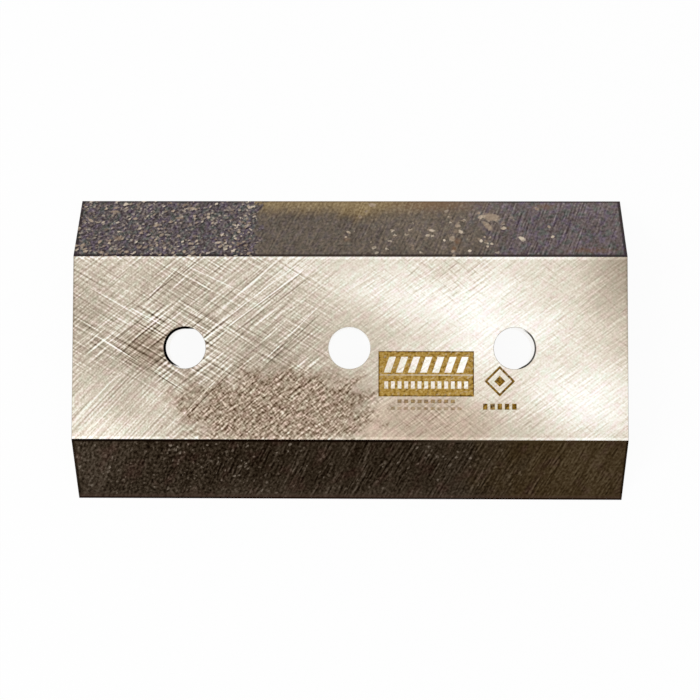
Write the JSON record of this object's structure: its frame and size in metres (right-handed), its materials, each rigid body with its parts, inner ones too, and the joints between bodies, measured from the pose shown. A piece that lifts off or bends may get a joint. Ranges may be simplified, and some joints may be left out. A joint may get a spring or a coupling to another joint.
{
  "type": "brush chipper knife",
  "caption": "Reversible brush chipper knife: a flat ground steel plate bevelled to a cutting edge along each long side, with a row of plain bolt holes through its middle.",
  "frame": {"origin": "middle of the flat back face, on which the knife lies", "axes": "+X along the cutting edges, +Y across them, +Z out of the back face towards the bevelled front"},
  "size_m": [0.1842, 0.1016, 0.0127],
  "materials": {
    "ground_steel": "coarsely ground bright steel with a warm cast; darker, oxide-speckled bevels"
  },
  "bodies": {
    "root": {"chipper_knife": "ground_steel"}
  },
  "joints": []
}
